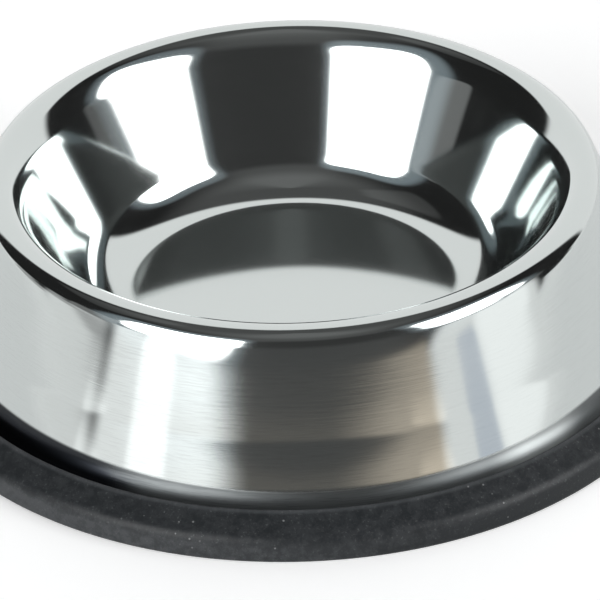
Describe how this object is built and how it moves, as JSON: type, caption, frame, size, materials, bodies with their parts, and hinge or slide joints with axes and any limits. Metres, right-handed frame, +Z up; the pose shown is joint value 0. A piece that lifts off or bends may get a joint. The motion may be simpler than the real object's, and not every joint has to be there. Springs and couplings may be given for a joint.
{
  "type": "cat bowl",
  "caption": "Low round steel cat bowl pressed from one sheet, with a rounded rim, a skirt that flares outwards and a black rubber ring round its foot that keeps it from sliding or tipping.",
  "frame": {"origin": "centre of the rubber ring's base, on the surface that the bowl stands on", "axes": "+Z up along the bowl's axis, +X to the right and +Y away from the viewer in the picture's view; the bowl is round, so X and Y are free"},
  "size_m": [0.1547, 0.1548, 0.0365],
  "materials": {
    "polished_steel": "mirror-polished stainless steel with fine polishing marks",
    "black_rubber": "matte moulded rubber"
  },
  "bodies": {
    "root": {"steel_bowl": "polished_steel", "rubber_ring": "black_rubber"}
  },
  "joints": []
}
